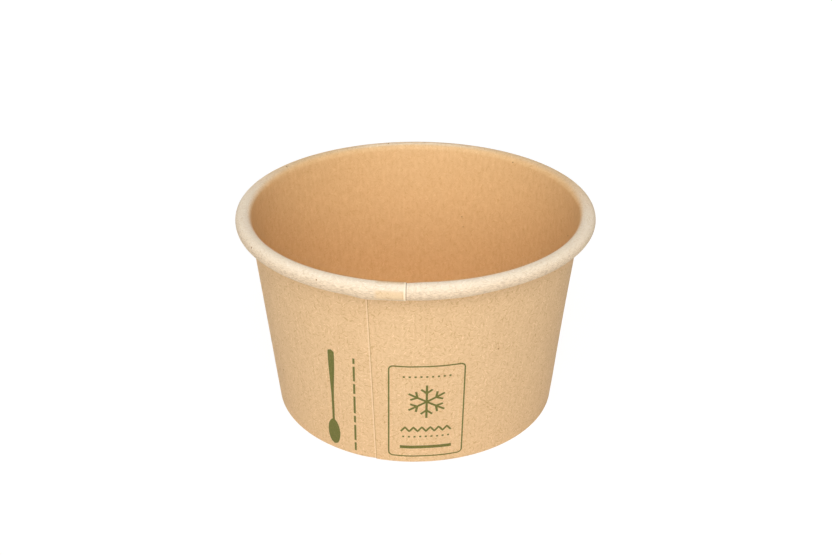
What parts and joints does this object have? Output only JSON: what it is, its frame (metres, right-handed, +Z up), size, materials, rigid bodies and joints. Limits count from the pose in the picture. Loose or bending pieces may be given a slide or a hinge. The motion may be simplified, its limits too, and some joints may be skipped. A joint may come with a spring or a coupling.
{
  "type": "paper ice cream tub",
  "caption": "Round tapered paper tub, open at the top, with a rolled rim, a lapped side seam and a recessed base disc held in a folded hem.",
  "frame": {"origin": "centre of the ring that the tub stands on, at table level", "axes": "+Z up along the tub's axis, -Y towards the lapped side seam"},
  "size_m": [0.09, 0.0901, 0.053],
  "materials": {
    "kraft_wall": "uncoated brown kraft board, matt, pale and fibrous on the rolled rim",
    "kraft_base": "brown kraft board with a thin waterproof food side, satin",
    "green_ink": "matt moss green ink on the side wall's print side, which has no node of its own"
  },
  "bodies": {
    "root": {"side_wall": "kraft_wall", "base_disc": "kraft_base"}
  },
  "joints": []
}
